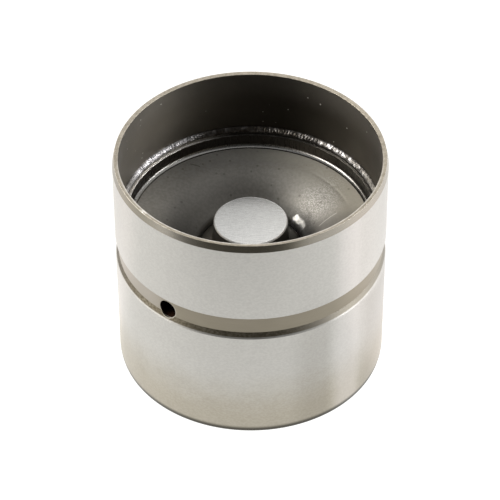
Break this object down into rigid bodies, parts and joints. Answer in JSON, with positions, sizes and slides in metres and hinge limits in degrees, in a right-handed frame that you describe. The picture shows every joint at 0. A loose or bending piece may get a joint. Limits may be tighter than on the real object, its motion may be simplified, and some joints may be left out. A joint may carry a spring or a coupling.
{
  "type": "hydraulic bucket tappet",
  "caption": "Hydraulic bucket tappet: a ground steel cup with an oil groove and oil hole, and a sprung, oil-filled lash adjuster that slides in its middle.",
  "frame": {"origin": "centre of the cam face, the flat outer face of the bucket's crown, on which the part stands", "axes": "+Z along the bucket's axis, from the cam face towards the open end and the valve stem; the oil hole lies in the -X, -Y quarter"},
  "size_m": [0.035, 0.035, 0.0318],
  "materials": {
    "ground_steel": "centreless ground, warm grey, with fine rings",
    "drawn_steel": "drawn and heat treated, dark grey-brown satin",
    "polished_steel": "finely ground, bright",
    "spring_steel": "drawn wire"
  },
  "bodies": {
    "bucket_body": {"bucket": "ground_steel", "guide_sleeve": "drawn_steel", "piston": "polished_steel", "valve_cap": "drawn_steel", "return_spring": "spring_steel"},
    "housing_body": {"inner_housing": "polished_steel"},
    "ball_body": {"valve_ball": "polished_steel", "valve_spring": "spring_steel"}
  },
  "joints": [
    {"name": "lash_slide", "type": "slide", "parent": "bucket_body", "child": "housing_body", "axis": [0, 0, 1], "range_m": [-0.0015, 0.001], "stiffness_N_per_m": 1500, "deforming": ["return_spring"]},
    {"name": "ball_lift", "type": "slide", "parent": "bucket_body", "child": "ball_body", "axis": [0, 0, 1], "range_m": [0, 0.0003], "stiffness_N_per_m": 20, "deforming": ["valve_spring"]}
  ]
}
